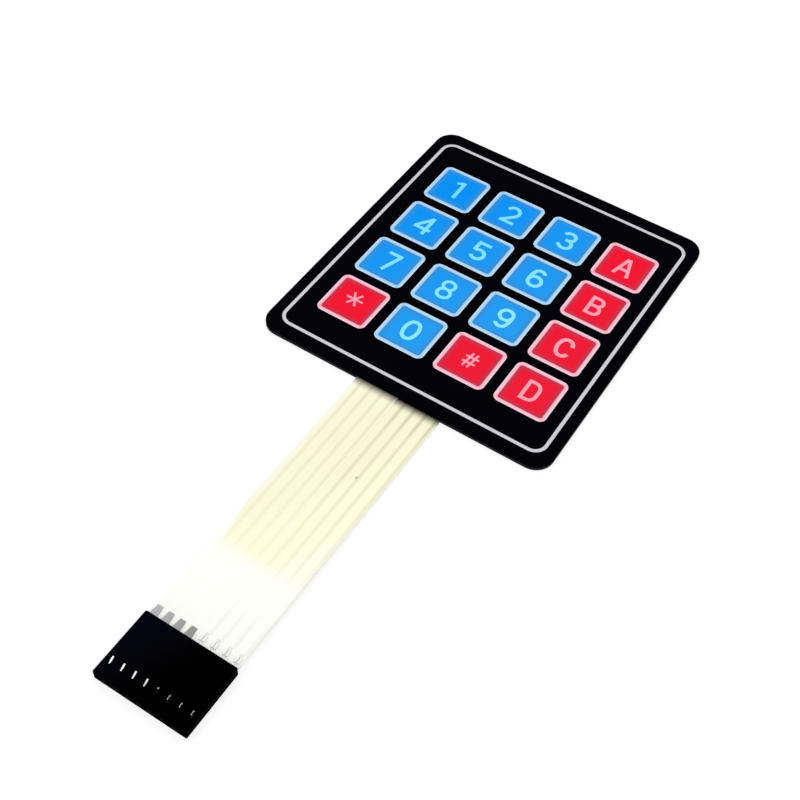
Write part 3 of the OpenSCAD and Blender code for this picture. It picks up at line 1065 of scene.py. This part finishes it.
@dataclass
class PadStack:
    """The bonded layers of the pad, from the release liner to the black face.

    Attributes:
        finishes: finish of each layer.
    """

    finishes: dict[str, Finish] = field(
        default_factory=lambda: {
            "release_liner": RELEASE_PAPER,
            "rear_adhesive": ACRYLIC_ADHESIVE,
            "column_tracks": SILVER_INK,
            "column_carbon_pads": CARBON_INK,
            "spacer": SPACER_FILM,
            "row_carbon_pads": CARBON_INK,
            "row_tracks": SILVER_INK,
            "overlay_adhesive": ACRYLIC_ADHESIVE,
            "graphic_overlay": BLACK_FACE,
        }
    )

    def build(self, nodes: Mapping[str, Object]) -> None:
        """Dress the layers.

        Args:
            nodes: CAD nodes by name.
        """
        for name, finish in self.finishes.items():
            dress(nodes[name], finish)


@dataclass
class KeyPrint:
    """The colours printed on the face: key fields, frames, the border line and the legends.

    Attributes:
        first_key: centre of the upper left key.
        pitch: distance between columns and between rows.
        key_w: width of a key with its frame.
        frame_w: width of the frame.
        field_rim: width of the duller band that a field has along its frame.
        rows: sign of each key, row by row from the top.
        digit_signs: signs on blue keys.
        digits: legends of the blue keys.
        letters: smaller legends of the red keys.
    """

    first_key: Pair = (-21.4, 21.6)
    pitch: Pair = (14.6, 14.4)
    key_w: float = 12.1
    frame_w: float = 0.85
    field_rim: float = 1.35
    rows: tuple[tuple[str, ...], ...] = (
        ("1", "2", "3", "A"),
        ("4", "5", "6", "B"),
        ("7", "8", "9", "C"),
        ("star", "0", "hash", "D"),
    )
    digit_signs: str = "0123456789"
    digits: Legends = field(default_factory=Legends)
    letters: Legends = field(default_factory=lambda: Legends(5.7, 0.8, bowl=(1.17, 1.28)))

    def centre(self, row: int, column: int) -> Pair:
        """Return the centre of a key."""
        return self.first_key[0] + column * self.pitch[0], self.first_key[1] - row * self.pitch[1]

    def build(self, nodes: Mapping[str, Object]) -> None:
        """Dress the printed nodes and draw the legends.

        Args:
            nodes: CAD nodes by name.
        """
        last = self.centre(len(self.rows) - 1, len(self.rows[0]) - 1)
        keys = {"origin": self.first_key, "pitch": self.pitch, "last_key": last}
        half = self.key_w / 2
        fields = {**keys, "half": half - self.frame_w, "rim": self.field_rim}
        frames = {**keys, "half": half, "rim": self.frame_w}
        # Screen-printed inks behind the film: strong and flat, greyed along the frames. The frames
        # are a thin white over them, which lets more of the ink through at its inside.
        inks = {
            "digit_key_fields": KeyInk(
                "blue key print", "blue_print", "#0090f5", "#2aa2f0", "#3c8cd0", **fields
            ),
            "function_key_fields": KeyInk(
                "red key print", "red_print", "#f5082b", "#ee1b36", "#be3750", **fields
            ),
            "digit_key_frames": KeyInk(
                "blue-white frame print", "pale_blue_print",
                "#8ccbfd", "#9cd4fb", "#c8def4", **frames,
            ),
            "function_key_frames": KeyInk(
                "pink-white frame print", "pale_pink_print",
                "#fea4b8", "#fcb0c2", "#f6d2de", **frames,
            ),
            "border_line": GREY_LINE,
        }
        for name, finish in inks.items():
            dress(nodes[name], finish)
        for row, signs in enumerate(self.rows):
            for column, sign in enumerate(signs):
                if sign in self.digit_signs:
                    legends, finish = self.digits, BLUE_LEGEND
                else:
                    legends, finish = self.letters, RED_LEGEND
                dress(legends.build(sign, self.centre(row, column)), finish)


@dataclass
class FilmTail:
    """The two circuit films, whose halves make the flat tail, and the coats over their tracks.

    Attributes:
        under_film: finish of the films.
        under_coat: finish of the coats.
        in_slit: finish of the coat in the slit, painted lighter to offset the shade that it lies
            in.
        slit: X of the left and the right side of the slit between the halves.
        slit_play: how far a point may lie from that X.
        slit_y: Y at which the slit leaves the pad.
        bead_t: thickness of the coat in the slit.
    """

    under_film: TailFinish = TailFinish(
        "milky polyester over tracks", "circuit_film", tracks=TrackPlace.UNDER_FILM
    )
    under_coat: TailFinish = TailFinish(
        "satin coat over tracks", "tail_coat", tracks=TrackPlace.UNDER_COAT
    )
    # Painted light: the coat in the slit is lighter, to offset the shade that it lies in
    in_slit: TailFinish = TailFinish(
        "satin coat in the slit", "tail_coat", "#fffce6",
        tracks=TrackPlace.UNDER_COAT, patch_tone="#fffde8", light_tone="#ffffe9",
    )
    slit: Pair = (0.825, 0.875)
    slit_play: float = 0.01
    slit_y: float = -38.3
    bead_t: float = 0.02

    def build(self, nodes: Mapping[str, Object]) -> None:
        """Dress the films and the coats.

        Args:
            nodes: CAD nodes by name.
        """
        for name in ("lower_circuit_film", "upper_circuit_film"):
            dress(nodes[name], self.under_film)
        for name in ("row_tail_cover", "column_tail_cover"):
            dress(nodes[name], self.under_coat)
        dress(self.bead(nodes["upper_circuit_film"], nodes["column_tail_cover"]), self.in_slit)

    def bead(self, *sides: Object) -> Object:
        """Close the hair-thin slit between the halves with a thin sheet of coat, which covers the
        shade in the slit.

        Args:
            sides: the pieces whose upper edges it joins, on the left and on the right.

        Returns:
            The piece.
        """
        mesh = bmesh.new()
        edges = []
        for side, x in zip(sides, self.slit):
            verts = [mesh.verts.new(place) for place in self._upper_edge(side, x)]
            edges += [mesh.edges.new(pair) for pair in zip(verts, verts[1:])]
        bmesh.ops.bridge_loops(mesh, edges=edges)
        thicken(mesh, -self.bead_t)
        return finished_piece("tail_slit_coat", mesh)

    def _upper_edge(self, side: Object, x: float) -> list[Vector]:
        """Give the upper edge of one side of the slit.

        Args:
            side: the piece on that side.
            x: X of the side.

        Returns:
            Highest point of each cross-section of the tail, from the plug to the pad.
        """
        tops: dict[int, Vector] = {}
        for vertex in side.data.vertices:
            place = vertex.co * PER_MM
            if abs(place.x - x) < self.slit_play and place.y < self.slit_y:
                section = round(place.y)
                if section not in tops or place.z > tops[section].z:
                    tops[section] = place
        return [tops[section] - Vector((0, 0, self.bead_t / 2)) for section in sorted(tops)]


@dataclass
class Plug:
    """The eight-way plug: its moulded housing and the clinched terminals.

    Attributes:
        edge_r: radius of the housing's outer edges.
        edge_steps: faces round such an edge.
        flat_angle: degrees under which two faces of the CAD mesh are one.
        lips: X of each bent lip that stands for a painted glint in a window of the column
            terminals, and its tail's length.
        lip_y: Y of the lips' rear end.
        lip_z: Z of the box wall that they stand on.
        lip_t: their height.
        lip_w: width of their head and of their tail.
        lip_heading: degrees from +X in which their head and their tail start.
        lip_r: radius of their tail.
    """

    edge_r: float = 0.5
    edge_steps: int = 4
    flat_angle: float = 0.5
    lips: tuple[Pair, ...] = ((2.0, 0.3), (4.53, 0.95), (7.07, 0.95), (9.6, 0.95))
    lip_y: float = -115.6
    lip_z: float = 2.15
    lip_t: float = 0.05
    lip_w: Pair = (0.24, 0.08)
    lip_heading: Pair = (250.0, 252.0)
    lip_r: float = 1.3

    def build(self, nodes: Mapping[str, Object]) -> None:
        """Round the housing's edges, and dress it and the terminals.

        Args:
            nodes: CAD nodes by name.
        """
        dress(self.shell(nodes["plug_housing"]), MOULDED_NYLON)
        for side, finish in (("row", TINNED_BRONZE), ("column", CLINCHED_TIN)):
            for number in range(1, 5):
                dress(nodes[f"terminal_{side}_{number}"], finish)
        # Painted glints: bent lip pieces of lighter tin in the windows of the column terminals
        for number, (x, tail) in enumerate(self.lips, 1):
            dress(self.lip(number, x, tail), BRIGHT_TIN)

    def lip(self, number: int, x: float, tail: float) -> Object:
        """Make the curved lip that shows in a window as a painted glint: a short head and a thin
        tail to the front.

        Args:
            number: number of the column terminal.
            x: X of the head.
            tail: length of the tail.

        Returns:
            The piece.
        """
        mesh = bmesh.new()
        pen = Pen(mesh, self.lip_w[1], self.lip_z)
        head = (Go(self.lip_w[0]),)
        bend = (Turn(self.lip_r, math.degrees(tail / self.lip_r)),)
        for heading, moves, width in zip(self.lip_heading, (head, bend), self.lip_w):
            pen.draw(Stroke((x, self.lip_y), heading, moves, width), (0.0, 0.0))
        thicken(mesh, self.lip_t)
        return finished_piece(f"terminal_lip_{number}", mesh)

    def shell(self, block: Object) -> Object:
        """Copy the housing and round the edges of its block, as a mould leaves them.

        Args:
            block: CAD node of the housing.

        Returns:
            The piece that replaces it.
        """
        mesh = bmesh.new()
        mesh.from_mesh(block.data)
        bmesh.ops.scale(mesh, verts=mesh.verts, vec=(PER_MM,) * 3)
        bmesh.ops.remove_doubles(mesh, verts=mesh.verts, dist=WELD)
        bmesh.ops.dissolve_limit(
            mesh,
            angle_limit=math.radians(self.flat_angle),
            verts=mesh.verts,
            edges=mesh.edges,
            use_dissolve_boundaries=False,
        )
        low, high = (Vector(corner) * PER_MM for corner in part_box(block.name))
        bmesh.ops.bevel(
            mesh,
            geom=[edge for edge in mesh.edges if self._on_block_edge(edge, low, high)],
            offset=self.edge_r,
            affect="EDGES",
            segments=self.edge_steps,
            profile=0.5,
            material=-1,
            clamp_overlap=True,
        )
        piece = finished_piece("plug_shell", mesh)
        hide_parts(block.name)
        return piece

    @staticmethod
    def _on_block_edge(edge: bmesh.types.BMEdge, low: Vector, high: Vector) -> bool:
        """Tell whether an edge lies on one of the block's twelve edges.

        Args:
            edge: edge of the mesh.
            low: the block's lowest corner.
            high: its highest corner.

        Returns:
            True where both ends lie on the same two of the block's faces.
        """
        faces = [(axis, corner[axis]) for corner in (low, high) for axis in range(3)]
        shared = [all(abs(v.co[axis] - at) < WELD for v in edge.verts) for axis, at in faces]
        return sum(shared) == 2


@dataclass
class Studio:
    """White studio: a paper floor, an even dome of light and one small softbox.

    Attributes:
        floor_w: width of the floor.
        floor_drop: distance of the floor under the part.
        dome: strength of the light from all round.
        box_to: direction of the softbox, seen from the plug.
        box_reach: distance of the softbox.
        box_w: width of the softbox.
        box_watts: its power.
        camera_at: place of the camera.
        camera_axes: its right, down and forward directions.
        sensor_w: width of its sensor.
        lens: its focal length.
        clip: distance from which it sees.
    """

    floor_w: float = 4000.0
    floor_drop: float = 0.1
    dome: float = 0.956
    box_to: tuple[float, float, float] = (-0.39, -0.01, 0.92)
    box_reach: float = 600.0
    box_w: float = 150.0
    box_watts: float = 0.2
    camera_at: tuple[float, float, float] = (82.10, -181.39, 206.26)
    camera_axes: tuple[tuple[float, float, float], ...] = (
        (0.8405603, 0.53985989, 0.04482949),
        (0.44636052, -0.64333152, -0.62200228),
        (-0.30695386, 0.54284054, -0.78173108),
    )
    sensor_w: float = 36.0
    lens: float = 58.25
    clip: float = 10.0

    def build(self) -> None:
        """Set up floor, light and camera."""
        self._floor()
        self._dome()
        self._softbox()
        self._camera()
        bpy.context.scene.view_settings.view_transform = "Standard"

    def _floor(self) -> None:
        """Lay the paper floor."""
        mesh = bmesh.new()
        bmesh.ops.create_grid(mesh, x_segments=1, y_segments=1, size=self.floor_w / 2)
        bmesh.ops.translate(mesh, verts=mesh.verts, vec=(0, 0, -self.floor_drop))
        floor = mesh_object("floor", mesh)
        floor.data.materials.append(STUDIO_PAPER.material())
        log.info("floor: %s", STUDIO_PAPER.name)

    def _dome(self) -> None:
        """Light the part evenly from all round, in front of a white backdrop."""
        world = bpy.data.worlds.new("white dome")
        world.use_nodes = True
        bpy.context.scene.world = world
        tree = world.node_tree
        strength = add_node(
            tree, "MapRange", {"To Min": self.dome, "To Max": 1.0}, {"Value": seen_rays(tree)}
        )
        white = {"Color": (1.0, 1.0, 1.0, 1.0)}
        add_node(tree, tree.nodes["Background"], white, {"Strength": strength})

    def _softbox(self) -> None:
        """Hang the softbox that the raised lances of the plug mirror."""
        data = bpy.data.lights.new("softbox", "AREA")
        data.shape = "DISK"
        data.size = self.box_w * MM
        data.energy = self.box_watts
        lamp = new_object("softbox", data)
        low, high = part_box("plug_housing")
        towards = Vector(self.box_to).normalized()
        lamp.location = (low + high) / 2 + towards * self.box_reach * MM
        lamp.rotation_euler = towards.to_track_quat("Z", "Y").to_euler()

    def _camera(self) -> None:
        """Put the camera where the photograph was taken from."""
        data = bpy.data.cameras.new("camera")
        data.sensor_width = self.sensor_w
        data.lens = self.lens
        data.clip_start = self.clip * MM
        camera = new_object("camera", data)
        right, down, forward = (Vector(axis) for axis in self.camera_axes)
        turn = Matrix((right, -down, -forward)).transposed().to_4x4()
        camera.matrix_world = Matrix.Translation(Vector(self.camera_at) * MM) @ turn
        bpy.context.scene.camera = camera


def main() -> None:
    """Dress the keypad and set up the studio."""
    logging.basicConfig(level=logging.INFO, format="%(name)s: %(message)s")
    nodes = frame["nodes"]
    PadStack().build(nodes)
    KeyPrint().build(nodes)
    FilmTail().build(nodes)
    Plug().build(nodes)
    Studio().build()
    bpy.context.view_layer.update()


if __name__ == "__main__":
    main()
